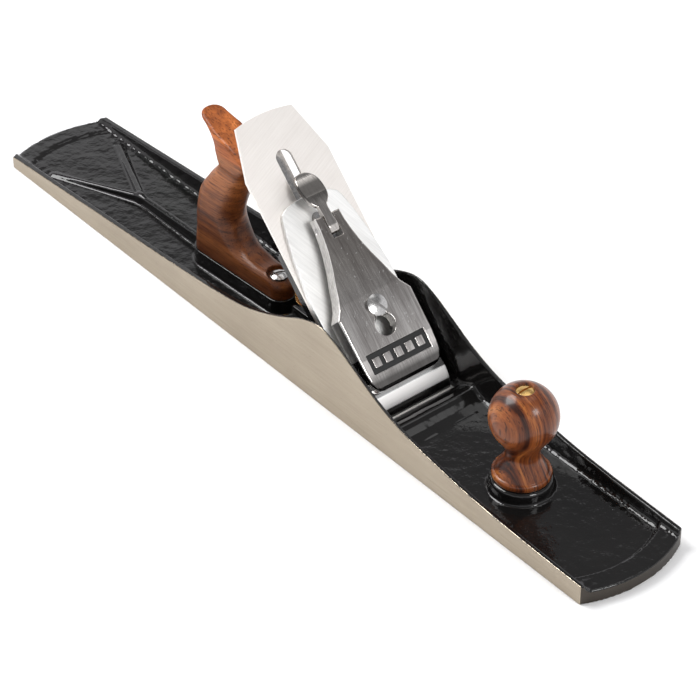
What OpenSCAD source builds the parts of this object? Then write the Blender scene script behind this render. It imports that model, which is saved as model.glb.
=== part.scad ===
// Jointer plane with an adjustable 45 degree frog.
// X runs along the sole with + towards the toe, Y runs across it and Z is up from the sole.
// The origin is the centre of the sole. The cutter rests just inside the mouth.

/* [Sole casting] */
// Length of the sole over its two curved ends
sole_len = 560; // [550:1:570]
// Width of the sole over the ground sides
sole_w = 75; // [74:0.5:76]
// How far each curved end bulges past its corners
end_bulge = 9.2; // [8:0.1:10]
// Thickness of the sole plate
floor_z = 4.8; // [4.5:0.1:5.2]
// Distance from the toe to the cutting edge
toe_to_edge = 190; // [188:1:192]
// Height of the machined seat under the frog
seat_z = 12; // [11.5:0.1:12.5]
// Height of the land across the toe
toe_land_z = 8.3; // [7.5:0.1:9]
// Height of the land across the heel
heel_land_z = 5.8; // [5.5:0.1:7]
// Width of both end lands
land_w = 12.5; // [11:0.5:14]
// Wall thickness of the side rails ahead of the mouth
toe_rail_t = 3.3; // [3:0.1:4]
// Wall thickness of the side rails at and behind the frog
heel_rail_t = 4.4; // [4:0.1:4.6]

/* [Cutter and irons] */
// Width of the cutter
cutter_w = 60; // [58:0.5:60.5]
// Length of the cutter from the edge to the top of its arch
cutter_len = 192.8; // [190:0.1:194]
// Thickness of the cutter
cutter_t = 2; // [1.8:0.1:2.2]
// How far the edge is held back from the sole at rest, along the bed
rest_setback = 0.5; // [0.2:0.1:0.8]
// Thickness of the cap iron
cap_iron_t = 3; // [2.8:0.1:3]
// Height of the cap iron's hump above the cutter
hump_h = 6.2; // [5.8:0.1:6.3]

/* [Lever cap] */
// Distance up the bed of the lever cap screw
cap_screw_s = 64; // [63:0.5:65]
// Height of the lever cap's face above the cutter at the screw
cap_face_n = 17; // [16.8:0.1:17]
// Travel of the lever cap along its keyhole
cap_travel = 12; // [11:0.5:12]
// Distance up the bed of the cam lever's pin
cam_pin_s = 117; // [116.5:0.5:117.5]
// Height of the cam lever's pin above the cutter
cam_pin_n = 10.2; // [10.1:0.1:10.3]

/* [Handles] */
// Thickness of the tote
tote_w = 24; // [23:0.5:24.5]
// Height of the platform that the tote stands on
platform_z = 15; // [14.5:0.1:15.5]
// Forward lean of the tote rod from upright
rod_lean = 20.5; // [20:0.1:21]
// Distance of the knob's axis from the middle of the sole
knob_x = 183; // [181:1:185]
// Height of the boss under the knob
boss_z = 13; // [12:0.1:14]

/* [Adjusters] */
// Radius of the depth wheel
wheel_r = 15; // [14:0.5:15.5]
// Height of the depth wheel's axis
wheel_z = 40; // [39.5:0.1:40.5]
// Height of the frog adjusting screw's axis
frog_screw_z = 17.5; // [17:0.1:18]

/* [Hidden] */
$fn = 64;

bed_angle = 45;
end_r = (pow(sole_w / 2, 2) + pow(end_bulge, 2)) / (2 * end_bulge);
edge_x = sole_len / 2 - toe_to_edge;
fit_gap = 0.05;
edge_s = rest_setback;
face_n = -cutter_t;

// Places along the bed, measured up it from where the cutter's face meets the sole
finger_s = 90;
disc_s = 101.5;
lateral_pivot_s = 110;
lateral_top_s = 178;
frog_top_s = 115;
iron_screw_s = 124;
keyhole_s = cap_screw_s - cap_travel;

// Depths below the cutter's face, along the bed's normal
y_pivot_n = -9;
frog_back_n = -12.5;
strip_top_n = -6.7;
strip_t = 1.8;

// Frog screws, depth nut and tote
frog_screw_x = 46;
frog_screw_y = 16;
nut_rear_x = -0.6;
rim_len = 7.9;
groove_x = [8.4, 14.4];
flange_end_x = 16.2;
stud_r = 3;
nut_bore_r = stud_r + 0.08;
toe_screw_x = -34.7;
mouth_front_x = edge_x + 2.5;
mouth_rear_x = edge_x - 6.6;
mouth_half_w = 32.6;
rod_foot_x = -95;
tote_rear_x = -99.6;
tote_front_x = -33.6;
tote_rod_len = 94;
tote_recess_r = 5.4;
toe_head_z = 26.2;
frog_w = 54;
root_z = 1; // parts of the casting start inside the sole plate
open_h = 80; // open cuts are carried up to here
bore_floor_z = 2.5;

// Pins, rivets, screws and rods
pin_r = 1.75;
rivet_r = 1.5;
spring_rivet_s = 86;
frog_screw_r = 3;
frog_adjuster_r = 2.5;
clip_screw_r = 1.6;
clip_screw_z = 27;
clip_x = 22.3;
cap_screw_r = 3.5;
toe_screw_r = 2.5;
rod_r = 3.2;
nut_r = 4.5;
wheel_hub_r = 7.5;

// Point on the tote rod's axis, a distance up from the platform
function rod_point(d) = [rod_foot_x + d * sin(rod_lean), 0, platform_z + d * cos(rod_lean)];

// Turns a place on the bed (up the bed, above the cutter's face) into X and Z
function bed_x(s, n) = edge_x - s * cos(bed_angle) + n * sin(bed_angle);
function bed_z(s, n) = s * sin(bed_angle) + n * cos(bed_angle);

// Smooth curve through points, with steps pieces between each pair
function curve_at(a, b, c, d, t) =
    0.5 * (2 * b + (c - a) * t + (2 * a - 5 * b + 4 * c - d) * t * t + (3 * b - a - 3 * c + d) * t * t * t);
function open_curve(p, steps) =
    [for (i = [1 : len(p) - 3], k = [0 : steps - 1]) curve_at(p[i - 1], p[i], p[i + 1], p[i + 2], k / steps)];
function loop_curve(p, steps) =
    [for (i = [0 : len(p) - 1], k = [0 : steps - 1])
        curve_at(p[i], p[(i + 1) % len(p)], p[(i + 2) % len(p)], p[(i + 3) % len(p)], k / steps)];
function mirrored(p) = concat(p, [for (i = [len(p) - 1 : -1 : 0]) [p[i][0], -p[i][1]]]);

// Local X runs up the bed and local Z stands off the cutter's face
module on_bed() {
    translate([edge_x, 0, 0]) rotate([0, bed_angle, 0]) rotate([0, 0, 180]) children();
}

// Bore for a pin across the bed
module cross_hole(s, n, len) {
    translate([s, 0, n]) rotate([90, 0, 0]) cylinder(len, r = pin_r + fit_gap, center = true);
}

// Extrudes a side view drawn in X and Z, centred across the part
module side_slab(width) {
    rotate([90, 0, 0]) linear_extrude(width, center = true) children();
}

// A straight bar between two points of a side view, with round ends
module bar_2d(a, b, r) {
    span = b - a;
    turn = atan2(span[1], span[0]);
    translate(a) circle(r);
    translate(b) circle(r);
    translate(a) rotate(turn) translate([0, -r + 0.02]) square([norm(span), 2 * r - 0.04]);
}

// A straight rod from one point to another
module rod_between(a, b, r) {
    span = b - a;
    flat = norm([span[0], span[1]]);
    translate(a) rotate([0, atan2(flat, span[2]), atan2(span[1], span[0])]) cylinder(norm(span), r = r);
}

// ---------------------------------------------------------------- sole casting

// Plan of the sole, drawn in from both ends and both sides
module sole_plan(end_in, side_w) {
    intersection() {
        square([sole_len, side_w], center = true);
        union() {
            square([sole_len - 2 * end_r, side_w], center = true);
            for (end = [-1, 1]) translate([end * (sole_len / 2 - end_r), 0]) circle(end_r - end_in, $fn = 160);
        }
    }
}

// Height of the side rails along the sole, from heel to toe
rail_line = [[-340, 3], [-300, 6.1], [-180, 14.8], [-82, 22], [-34, 27.2], [-10, 32.8], [13, 42], [34, 52.3],
             [50, 56.6], [64, 53.2], [80, 45], [100, 34.2], [120, 26.6], [142, 22], [183, 16.4],
             [222, 14], [300, 11.7], [340, 10.5]];

module rail_profile() {
    ends = [rail_line[1], rail_line[len(rail_line) - 2]];
    polygon(concat([[ends[1][0], 0], [ends[0][0], 0]], open_curve(rail_line, 4), [ends[1]]));
}

module sole_blank() {
    intersection() {
        linear_extrude(open_h) sole_plan(0, sole_w);
        side_slab(sole_w + 2) rail_profile();
    }
}

// The open tray inside the rails
module tray() {
    heel_y = sole_w / 2 - heel_rail_t;
    toe_y = sole_w / 2 - toe_rail_t;
    taper = [-20, 25];
    translate([0, 0, floor_z]) linear_extrude(open_h) sole_plan(land_w, 2 * heel_y);
    translate([mouth_front_x, -toe_y, toe_land_z]) cube([sole_len, 2 * toe_y, open_h]);
    translate([0, 0, heel_land_z]) linear_extrude(open_h)
        polygon(mirrored([[-sole_len, heel_y], [taper[0], heel_y], [taper[1], toe_y], [mouth_front_x + 1, toe_y]]));
}

// Raised seat under the frog, its front cut back behind the bed line
seat_front = edge_x - cutter_t / cos(bed_angle) - 2.5;
module frog_seat() {
    rear_x = 22;
    side_slab(frog_w) polygon([[rear_x, root_z], [seat_front - 3, root_z], [seat_front - seat_z, seat_z],
                               [rear_x, seat_z]]);
}

// Cross rib that stiffens the sole just ahead of the mouth
module mouth_rib() {
    rib_top_z = 9.1;
    rib_x = mouth_front_x + 10.5;
    foot_x = rib_x + 16;
    side_slab(sole_w - 4) polygon([[mouth_front_x, root_z], [mouth_front_x, 3], [rib_x - 3.5, 7.6],
                                   [rib_x, rib_top_z], [rib_x + 3, rib_top_z], [rib_x + 5.5, 7.5], [rib_x + 9.5, 5.8],
                                   [foot_x, floor_z - 0.1], [foot_x, root_z]]);
}

module mouth_cut() {
    top_z = 20;
    land_z = 1.3;
    side_slab(2 * mouth_half_w) polygon([[mouth_rear_x, -1], [mouth_front_x, -1], [mouth_front_x, top_z],
                                         [seat_front - top_z, top_z], [seat_front - land_z, land_z]]);
}

// Two cheeks with a lug between them that carry the frog adjusting screw
module screw_channel() {
    cheek_t = 3;
    cheek_len = 34.2;
    lug_len = 8;
    rise = 22 - root_z;
    for (side = [-1, 1]) translate([-12, side * 7.5 - cheek_t / 2, root_z]) cube([cheek_len, cheek_t, rise]);
    translate([8, -7, root_z]) cube([lug_len, 14, rise]);
}

module platform_plan(grow) {
    hull() {
        translate([tote_rear_x, 0]) circle(12.3 + grow);
        translate([tote_front_x, 0]) circle(8.8 + grow);
    }
}

// Low rib from one plan point to another, its top rising between two heights
module floor_rib(a, b, top_a, top_b) {
    span = b - a;
    translate([a[0], a[1], 0]) rotate(atan2(span[1], span[0]))
        side_slab(4) polygon([[0, root_z], [norm(span), root_z], [norm(span), top_b], [0, top_a]]);
}

module bed() {
    fork = [-178, 0];
    fork_top_z = 10.5;
    color([0.16, 0.16, 0.17]) difference() {
        union() {
            difference() {
                sole_blank();
                tray();
            }
            frog_seat();
            mouth_rib();
            screw_channel();
            translate([0, 0, root_z]) linear_extrude(platform_z - root_z) platform_plan(0.6);
            for (side = [-1, 1]) floor_rib([-240, side * 25.7], fork, 6.2, fork_top_z);
            floor_rib([-180, 0], [-105, 0], fork_top_z - 0.2, 13.5);
            translate([knob_x, 0, root_z]) cylinder(boss_z - root_z, r = 18.5);
        }
        mouth_cut();
        for (side = [-1, 1]) translate([frog_screw_x, side * frog_screw_y, 2])
            cylinder(20, r = frog_screw_r + fit_gap);
        translate([0, 0, frog_screw_z]) rotate([0, 90, 0]) cylinder(20, r = frog_adjuster_r + fit_gap);
        translate([toe_screw_x, 0, bore_floor_z]) cylinder(20, r = toe_screw_r + fit_gap);
        translate([knob_x, 0, bore_floor_z]) cylinder(20, r = rod_r + fit_gap);
        rod_between(rod_point(-12 / cos(rod_lean)), rod_point(5 / cos(rod_lean)), rod_r + fit_gap);
    }
}

// ---------------------------------------------------------------- frog

frog_rear_x = 24;
module frog_outline() {
    plate_n = face_n - 0.02;
    face_x = edge_x + plate_n / cos(bed_angle);
    polygon([[frog_rear_x, seat_z], [face_x - seat_z, seat_z],
             [bed_x(frog_top_s, plate_n), bed_z(frog_top_s, plate_n)],
             [bed_x(frog_top_s, frog_back_n), bed_z(frog_top_s, frog_back_n)],
             [bed_x(66, frog_back_n), bed_z(66, frog_back_n)], [frog_rear_x, wheel_z]]);
}

// Room between the plate, the base and the webs
module frog_hollow() {
    web_x = 30;
    base_z = 19;
    polygon([[web_x, base_z], [edge_x + frog_back_n / cos(bed_angle) - base_z, base_z], [web_x, 42.3]]);
}

module frog() {
    slide = 1.8;
    slot_r = 3.3;
    boss_x = 21;
    color([0.1, 0.1, 0.11]) difference() {
        union() {
            difference() {
                side_slab(frog_w) frog_outline();
                side_slab(34) frog_hollow();
            }
            translate([boss_x, 0, wheel_z]) rotate([0, 90, 0]) cylinder(12, r = 6.5);
        }
        // Slot for the finger of the Y lever, and the bore of its pin
        on_bed() translate([finger_s - 5, -3.5, frog_back_n - 8]) cube([9.6, 7, 30]);
        on_bed() cross_hole(finger_s, y_pivot_n, 20);
        // Recess for the lateral lever, and the bore of its rivet
        on_bed() translate([96.2, -6.5, strip_top_n - strip_t - 0.2]) cube([30, 13, 20]);
        on_bed() translate([lateral_pivot_s, 0, frog_back_n + 0.5]) cylinder(10, r = rivet_r + fit_gap);
        // Lever cap screw
        on_bed() translate([cap_screw_s, 0, -20]) cylinder(30, r = cap_screw_r + fit_gap);
        // Slots for the two frog screws, with their access holes above
        for (side = [-1, 1]) translate([frog_screw_x, side * frog_screw_y, 0]) {
            translate([-slide, 0.02 - slot_r, 10]) cube([2 * slide, 2 * slot_r - 0.04, 12]);
            for (end = [-slide, slide]) translate([end, 0, 10]) cylinder(12, r = slot_r);
            translate([0, 0, 19]) cylinder(60, r = 9.5);
        }
        // Depth stud, and the pocket for the frog adjusting screw's end
        translate([boss_x - 1, 0, wheel_z]) rotate([0, 90, 0]) cylinder(11, r = stud_r + fit_gap);
        translate([frog_rear_x - 1, 0, frog_screw_z]) rotate([0, 90, 0]) cylinder(4.2, r = 3.2);
        translate([frog_rear_x - 1, 0, clip_screw_z]) rotate([0, 90, 0]) cylinder(8, r = clip_screw_r + fit_gap);
    }
}

module frog_screws() {
    color([0.55, 0.55, 0.56]) for (side = [-1, 1]) translate([frog_screw_x, side * frog_screw_y, 0]) difference() {
        union() {
            translate([0, 0, 3]) cylinder(18, r = frog_screw_r);
            translate([0, 0, 20.3]) cylinder(4, r = 5.2);
        }
        translate([-6, -0.7, 23]) cube([12, 1.4, 3]);
    }
}

module frog_screw_washers() {
    color([0.6, 0.6, 0.6]) for (side = [-1, 1]) translate([frog_screw_x, side * frog_screw_y, 19.05]) difference() {
        cylinder(1.2, r = 7);
        translate([0, 0, -1]) cylinder(4, r = frog_screw_r + fit_gap);
    }
}

// Turned profile along X: each entry is [start, end, radius]
module turned_x(steps) {
    for (step = steps) translate([step[0], 0, 0]) rotate([0, 90, 0]) cylinder(step[1] - step[0], r = step[2]);
}

module frog_adjusting_screw() {
    color([0.55, 0.55, 0.56]) translate([0, 0, frog_screw_z]) difference() {
        turned_x([[-3, 0.5, 4.6], [0, 22, frog_adjuster_r], [21.5, 24.2, 1.5], [24.1, 26.2, frog_adjuster_r]]);
        translate([-4, -5, -0.6]) cube([2.2, 10, 1.2]);
    }
}

module frog_clip() {
    clip_w = 11.4;
    fork_r = 1.5 + fit_gap;
    color([0.5, 0.5, 0.52]) difference() {
        translate([clip_x, -clip_w / 2, 13]) cube([1.6, clip_w, 18]);
        translate([clip_x - 1, -fork_r, 12]) cube([4, 2 * fork_r, frog_screw_z - 12]);
        translate([clip_x - 1, 0, frog_screw_z]) rotate([0, 90, 0]) cylinder(4, r = fork_r);
        translate([clip_x - 1, 0, clip_screw_z]) rotate([0, 90, 0]) cylinder(4, r = clip_screw_r + fit_gap);
    }
}

module frog_clip_screw() {
    color([0.6, 0.6, 0.6]) translate([0, 0, clip_screw_z]) difference() {
        turned_x([[clip_x - 2, clip_x, 3], [clip_x - 0.3, 30, clip_screw_r]]);
        translate([19.5, -4, -0.4]) cube([1.5, 8, 0.8]);
    }
}

// ---------------------------------------------------------------- depth adjustment

module depth_stud() {
    color([0.6, 0.6, 0.6]) translate([0, 0, wheel_z]) turned_x([[-5.5, 30.5, stud_r]]);
}

module depth_collar() {
    color([0.8, 0.62, 0.3]) translate([0, 0, wheel_z]) difference() {
        turned_x([[groove_x[0] + fit_gap, groove_x[1] + 0.5, 4.75], [groove_x[1], flange_end_x, wheel_hub_r]]);
        turned_x([[0, 30, nut_bore_r]]);
    }
}

// Brass wheel with three ridges round its rim, each cut with fine notches
module depth_wheel() {
    ridge = rim_len / 3;
    notches = 48;
    color([0.8, 0.62, 0.3]) translate([0, 0, wheel_z]) difference() {
        union() {
            turned_x([[nut_rear_x, nut_rear_x + rim_len, wheel_r - 1.3], [nut_rear_x, groove_x[0], wheel_hub_r]]);
            for (i = [0 : 2]) turned_x([[nut_rear_x + i * ridge + 0.4, nut_rear_x + (i + 1) * ridge - 0.4, wheel_r]]);
        }
        turned_x([[-10, 20, nut_bore_r], [nut_rear_x - 1, nut_rear_x + 1.2, 11]]);
        for (i = [0 : notches - 1]) rotate([i * 360 / notches, 0, 0])
            translate([nut_rear_x - 1, -0.35, wheel_r - 0.5]) cube([rim_len + 2, 0.7, 2]);
    }
}

// Lever whose finger lifts the irons and whose fork rides in the depth nut's groove
module y_lever() {
    pivot = [bed_x(finger_s, y_pivot_n), bed_z(finger_s, y_pivot_n)];
    tip = [bed_x(finger_s, 2), bed_z(finger_s, 2)];
    yoke = [bed_x(finger_s, -17), bed_z(finger_s, -17)];
    foot = [(groove_x[0] + groove_x[1]) / 2, wheel_z];
    knee = [foot[0] + 1, 49];
    color([0.45, 0.45, 0.47]) difference() {
        union() {
            side_slab(6.2) {
                translate(pivot) circle(4.4);
                bar_2d(pivot, tip, 2.1);
                bar_2d(pivot, yoke, 2.4);
            }
            side_slab(16) bar_2d(yoke, (yoke + knee) / 2, 2.2);
            for (side = [-1, 1]) translate([0, side * 6.6, 0]) side_slab(2.8) {
                bar_2d(yoke, knee, 2.2);
                bar_2d(knee, foot, 1.5);
                translate(foot) circle(2.5);
            }
        }
        on_bed() cross_hole(finger_s, y_pivot_n, 20);
    }
}

module y_lever_pin() {
    color([0.6, 0.6, 0.6]) on_bed() translate([finger_s, 0, y_pivot_n]) rotate([90, 0, 0])
        cylinder(18, r = pin_r, center = true);
}

// ---------------------------------------------------------------- lateral adjustment

module lateral_lever() {
    color([0.5, 0.5, 0.52]) on_bed() difference() {
        union() {
            translate([0, 0, strip_top_n - strip_t]) linear_extrude(strip_t) {
                translate([disc_s, 0]) circle(4.5);
                translate([lateral_pivot_s, 0]) circle(5);
                translate([disc_s, -4]) square([lateral_top_s - disc_s, 8]);
            }
            translate([lateral_top_s - strip_t, -8, -16]) cube([strip_t, 16, 16 + strip_top_n]);
        }
        translate([lateral_pivot_s, 0, -12]) cylinder(10, r = rivet_r + fit_gap);
    }
}

module lateral_lever_disc() {
    color([0.55, 0.55, 0.56]) on_bed() translate([disc_s, 0, strip_top_n]) cylinder(-strip_top_n - 0.4, r = 5);
}

module lateral_lever_rivet() {
    color([0.6, 0.6, 0.6]) on_bed() translate([lateral_pivot_s, 0, 0]) {
        translate([0, 0, frog_back_n + 0.6]) cylinder(strip_top_n - frog_back_n, r = rivet_r);
        translate([0, 0, strip_top_n + 0.05]) cylinder(1.5, r = 2.9);
    }
}

// ---------------------------------------------------------------- irons

// Everything below an arched top, for an outline to be cut to
module arch_top(top_s, arch_r) {
    translate([top_s - arch_r, 0]) circle(arch_r, $fn = 160);
    translate([-5, -cutter_w]) square([top_s - arch_r + 5, 2 * cutter_w]);
}

module cutter_outline() {
    corner_w = 20.5;
    shoulder_s = 160;
    arch = 2.3;
    arch_r = (corner_w * corner_w + arch * arch) / (2 * arch);
    intersection() {
        polygon(mirrored([[edge_s, cutter_w / 2], [shoulder_s, cutter_w / 2], [edge_s + cutter_len - arch, corner_w],
                          [edge_s + cutter_len + 5, corner_w - 1.7]]));
        arch_top(edge_s + cutter_len, arch_r);
    }
}

module cutter() {
    bevel_len = cutter_t / tan(25);
    slot_w = 11.1;
    slot_end_s = 169.7;
    color([0.86, 0.85, 0.83]) on_bed() difference() {
        translate([0, 0, -cutter_t]) linear_extrude(cutter_t) cutter_outline();
        side_slab(80) polygon([[edge_s - 1, -cutter_t - 1], [edge_s - 1, 0], [edge_s, 0],
                               [edge_s + bevel_len, -cutter_t], [edge_s + bevel_len, -cutter_t - 1]]);
        translate([60, 0, -10]) cylinder(20, r = 8.5);
        translate([60, -slot_w / 2, -10]) cube([slot_end_s - slot_w / 2 - 60, slot_w, 20]);
        translate([slot_end_s - slot_w / 2, 0, -10]) cylinder(20, r = slot_w / 2);
    }
}

// Side view of the cap iron: a round nose, a hump and a flat back
hump_s = 16;
hump_foot_s = 32;
nose_s = 1.7;
hump_r = (pow(hump_s - nose_s, 2) + hump_h * hump_h) / (2 * hump_h);
function nose_arc(r, n_from) =
    [for (a = [asin((n_from - hump_h + hump_r) / r) : (90 - asin((n_from - hump_h + hump_r) / r)) / 8 : 90.001])
        [hump_s - r * cos(a), hump_h - hump_r + r * sin(a)]];
function hump_back(low, high) =
    [for (k = [1 : 8]) [hump_s + (hump_foot_s - hump_s) * k / 8, low + (high - low) * (1 + cos(k * 22.5)) / 2]];

module cap_iron() {
    nose_t = 2.8;
    top_s = 139;
    hole_r = 4;
    outer = concat(nose_arc(hump_r, 0), hump_back(cap_iron_t, hump_h));
    inner = concat(nose_arc(hump_r - nose_t, 0), hump_back(0, hump_h - nose_t));
    color([0.8, 0.8, 0.8]) on_bed() difference() {
        intersection() {
            side_slab(80) polygon(concat(outer, [[top_s + 2, cap_iron_t], [top_s + 2, 0]],
                                         [for (i = [len(inner) - 1 : -1 : 0]) inner[i]]));
            translate([0, 0, -1]) linear_extrude(20) intersection() {
                polygon(mirrored([[0, cutter_w / 2], [84, cutter_w / 2], [108.5, 27.1], [122, 24.3], [131, 21.8],
                                  [134.4, 20.2], [136.2, 17.2], [142, 12]]));
                arch_top(top_s, 62);
            }
        }
        translate([iron_screw_s, 0, -1]) cylinder(10, r = hole_r);
        translate([finger_s - 2.6, -4.2, -1]) cube([5.2, 8.4, 10]);
        translate([cap_screw_s - 3, 0, -1]) cylinder(10, r = 5.5);
        translate([cap_screw_s + 3, 0, -1]) cylinder(10, r = 5.5);
        translate([cap_screw_s - 3, -5.45, -1]) cube([6, 10.9, 10]);
    }
}

module cap_iron_screw() {
    color([0.55, 0.55, 0.56]) on_bed() translate([iron_screw_s, 0, 0]) difference() {
        union() {
            translate([0, 0, -cutter_t - 0.05 - 3]) cylinder(3, r = 7);
            translate([0, 0, -cutter_t - 1]) cylinder(cutter_t + 1 + cap_iron_t - 0.05, r = 3.93);
        }
        translate([-8, -0.8, -cutter_t - 4]) cube([16, 1.6, 2.2]);
    }
}

// ---------------------------------------------------------------- lever cap

tip_n = hump_h + 0.15;

module lever_cap_outline() {
    polygon(mirrored([[17.8, 18], [18.6, 21.2], [21, 24], [25, 25.9], [31, 26.7], [37, 27], [65, 27],
                      [71, 22.6], [77, 20], [85, 17.4], [93, 14.4], [103, 11.5], [111, 10], [117, 9.2], [124, 9]]));
}

module lever_cap_side() {
    polygon([[17, tip_n], [17, 12.5], [18.2, 14.6], [20.5, 15.9], [26, cap_face_n - 0.5], [38, cap_face_n],
             [72, cap_face_n], [96, 16.1], [112, 15.2], [124, 14.5], [124, tip_n]]);
}

module lever_cap() {
    neck_r = cap_screw_r + 0.4;
    panel_s = 34.5;
    color([0.62, 0.6, 0.58]) on_bed() difference() {
        union() {
            difference() {
                intersection() {
                    linear_extrude(30) lever_cap_outline();
                    side_slab(70) lever_cap_side();
                }
                // Hollow underside
                translate([0, 0, 5]) linear_extrude(7.5)
                    polygon(mirrored([[25, 20], [28, 23], [36, 23.4], [62, 23.4], [68, 19.6], [75, 17], [84, 14.2],
                                      [92, 11.2], [103, 8]]));
            }
            translate([spring_rivet_s, 0, 8.6]) cylinder(6, r = 5);
            translate([cap_screw_s - 6, 0, 10]) cylinder(5, r = 11);
        }
        // Keyhole
        translate([keyhole_s, 0, 0]) cylinder(30, r = 6.75);
        translate([keyhole_s, -neck_r, 0]) cube([cap_travel, 2 * neck_r, 30]);
        translate([cap_screw_s, 0, 0]) cylinder(30, r = neck_r);
        // Recessed panel with five plain blocks left standing in it
        difference() {
            translate([panel_s - 6, -21.3, cap_face_n - 1.2]) cube([12, 42.6, 5]);
            for (i = [-2 : 2]) translate([panel_s - 2.9, i * 8 - 2.6, 0]) cube([5.8, 5.2, cap_face_n - 0.3]);
        }
        // Slot for the cam, bore of its pin, bore of the spring's rivet
        translate([cam_pin_s - 7.7, -3.6, 0]) cube([30, 7.2, 30]);
        cross_hole(cam_pin_s, cam_pin_n, 40);
        translate([spring_rivet_s, 0, 5]) cylinder(8.5, r = rivet_r + fit_gap);
    }
}

module lever_cap_screw() {
    head_n = cap_face_n + 0.1;
    head_r = 6.5;
    color([0.7, 0.7, 0.7]) on_bed() translate([cap_screw_s, 0, 0]) difference() {
        union() {
            translate([0, 0, frog_back_n]) cylinder(head_n - frog_back_n + 0.1, r = cap_screw_r);
            translate([0, 0, head_n]) cylinder(1.7, r = head_r);
            translate([0, 0, head_n + 1.69]) domed_head(head_r, 1);
        }
        rotate(37.5) translate([-8, -0.8, head_n + 0.9]) cube([16, 1.6, 3]);
    }
}

// A cam round the pin, and a thumb piece that curls down
module cam_lever() {
    color([0.6, 0.6, 0.6]) on_bed() difference() {
        union() {
            for (lobe = [[0, 0], [0.9, -1.25]]) translate([cam_pin_s + lobe[0], 0, cam_pin_n + lobe[1]])
                rotate([90, 0, 0]) cylinder(6.2, r = 5, center = true);
            intersection() {
                side_slab(20)
                    polygon([[111.3, 11.8], [111.3, 14.4], [113.4, 15.1], [119, 15.15], [125, 14.8], [132, 14.1],
                             [138, 13.2], [145, 11.3], [150, 8.8], [152, 7], [151, 5.8], [147, 7.6], [142, 9.4],
                             [136, 10.7], [128, 11], [119, 9.5]]);
                linear_extrude(30) polygon(mirrored([[100, 2.9], [127, 2.9], [130, 4.4], [133, 6.8], [137, 7.8],
                                                     [144, 7.8], [148.5, 6.2], [151, 3.6], [152, 0.5]]));
            }
        }
        cross_hole(cam_pin_s, cam_pin_n, 20);
    }
}

module cam_lever_pin() {
    color([0.6, 0.6, 0.6]) on_bed() translate([cam_pin_s, 0, cam_pin_n]) rotate([90, 0, 0])
        cylinder(18, r = pin_r, center = true);
}

// Flat spring that the cam presses down on the cap iron
module leaf_spring() {
    spring_t = 0.7;
    line = [[80, 8.5], [93, 8.5], [97, 7.6], [110, 4.3], [113, 3.85], [123.5, 3.85]];
    color([0.4, 0.42, 0.46]) on_bed() difference() {
        side_slab(11) polygon(concat(line, [for (i = [len(line) - 1 : -1 : 0]) line[i] - [0, spring_t]]));
        translate([spring_rivet_s, 0, 0]) cylinder(20, r = rivet_r + fit_gap);
    }
}

module leaf_spring_rivet() {
    color([0.6, 0.6, 0.6]) on_bed() translate([spring_rivet_s, 0, 0]) {
        translate([0, 0, 7.1]) cylinder(6, r = rivet_r);
        translate([0, 0, 6.6]) cylinder(1.15, r = 2.8);
    }
}

// ---------------------------------------------------------------- tote and knob

// Side view of the tote below its horn, closed under its foot so that the foot stays square
tote_line = [[-24.8, 4], [-24.8, 17], [-26.5, 23.5], [-31, 27.6], [-39, 29.4], [-50, 28.9], [-59.5, 31],
             [-68.5, 36], [-73, 45], [-72.6, 54], [-66, 70], [-57, 88], [-53.2, 96], [-54.2, 100],
             [-60, 102.4], [-69, 104.6], [-76, 104.6], [-79.6, 100.6], [-78.8, 94.2], [-81.6, 87.8],
             [-88.4, 79.8], [-95.4, 71.2], [-101.8, 61.5], [-105.4, 50], [-107.8, 34], [-110.4, 17], [-110.4, 4]];

// Side view of the horn, which thins out towards its tip
horn_line = [[-52.6, 98.5], [-53.8, 100.8], [-57.6, 102.7], [-63.3, 105.2], [-70, 107.4], [-77.7, 109.3],
             [-87, 112], [-95, 114.6], [-99.6, 115.8], [-101.4, 115.4], [-100.6, 113.8], [-95, 111.4],
             [-91, 109.6], [-87.3, 107.2], [-84, 104.2], [-81.6, 100.6], [-80.2, 96.5], [-76, 92], [-60, 90]];

module horn() {
    horn_w = 20.8;
    intersection() {
        side_slab(horn_w) polygon(horn_line);
        translate([0, 0, 80]) linear_extrude(50) hull() {
            translate([-40, 0]) circle(horn_w / 2 + 0.4);
            translate([-81, 0]) circle(horn_w / 2 + 0.1);
            translate([-92.8, 0]) circle(8.6);
        }
    }
}

module tote_hole() {
    reach = 130;
    rod_between(rod_point(-5), rod_point(reach), nut_r + 0.2);
    rod_between(rod_point(tote_rod_len - 4), rod_point(reach), tote_recess_r);
}

module tote() {
    round_r = 7.5;
    color([0.5, 0.27, 0.13]) difference() {
        union() {
            intersection() {
                minkowski() {
                    side_slab(tote_w - 2 * round_r) offset(delta = -round_r) polygon(loop_curve(tote_line, 2));
                    sphere(round_r, $fn = 20);
                }
                translate([0, 0, platform_z]) linear_extrude(120) platform_plan(0);
            }
            horn();
        }
        tote_hole();
        translate([toe_screw_x, 0, 0]) cylinder(40, r = toe_screw_r + 0.3);
        translate([toe_screw_x - 0.9, 0, toe_head_z - 0.05]) cylinder(20, r = 7);
    }
}

module tote_rod() {
    color([0.6, 0.6, 0.6]) rod_between(rod_point(-9), rod_point(tote_rod_len - 6), rod_r);
}

module tote_nut() {
    top = tote_rod_len - 0.5;
    color([0.8, 0.62, 0.3]) difference() {
        union() {
            rod_between(rod_point(tote_rod_len - 22), rod_point(tote_rod_len - 3), nut_r);
            rod_between(rod_point(tote_rod_len - 3.95), rod_point(top), tote_recess_r - 0.3);
        }
        rod_between(rod_point(tote_rod_len - 24), rod_point(tote_rod_len - 5.9), rod_r + fit_gap);
        translate(rod_point(top)) rotate([0, rod_lean, 0]) cube([1.4, 16, 3], center = true);
    }
}

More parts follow.
